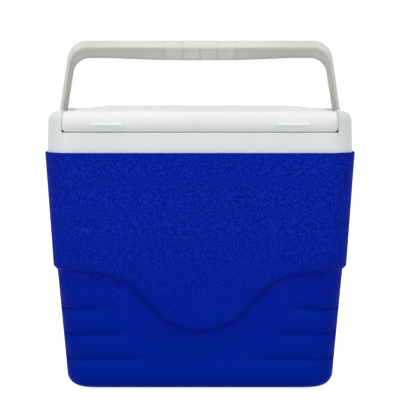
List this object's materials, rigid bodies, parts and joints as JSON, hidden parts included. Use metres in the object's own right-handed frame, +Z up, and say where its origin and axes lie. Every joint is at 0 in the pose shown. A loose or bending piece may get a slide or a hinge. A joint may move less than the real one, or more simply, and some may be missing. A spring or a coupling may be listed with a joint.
{
  "type": "lunch box",
  "caption": "Hard-sided insulated lunch box: a tapered tub with a wave panel, a collar, a rear-hinged lid with a plug and finger lips, and a swing-over carrying handle.",
  "frame": {"origin": "on the floor that the box stands on, under the middle of the tub", "axes": "+Z up, -Y out of the front with the finger lips, +X to the right of someone who faces the front"},
  "size_m": [0.34, 0.2415, 0.385],
  "materials": {
    "shell_blue": "fine pebble grain",
    "lid_white": "satin",
    "handle_white": "satin",
    "liner_white": "smooth",
    "foam": "rigid insulating foam",
    "pin_steel": "plain",
    "pin_white": "satin"
  },
  "bodies": {
    "tub": {"outer_shell": "shell_blue", "inner_liner": "liner_white", "body_foam": "foam", "rim_collar": "lid_white", "hinge_pin_left": "pin_steel", "hinge_pin_right": "pin_steel"},
    "lid": {"lid_shell": "lid_white", "lid_pan": "liner_white", "lid_foam": "foam", "handle_pin_left": "pin_white", "handle_pin_right": "pin_white"},
    "bail": {"handle": "handle_white"}
  },
  "joints": [
    {"name": "lid_hinge", "type": "hinge", "parent": "tub", "child": "lid", "pos_m": [0, 0.1112, 0.29], "axis": [-1, 0, 0], "range_deg": [0, 100]},
    {"name": "handle_swing", "type": "hinge", "parent": "lid", "child": "bail", "pos_m": [0, 0, 0.2958], "axis": [-1, 0, 0], "range_deg": [-65, 65]}
  ]
}
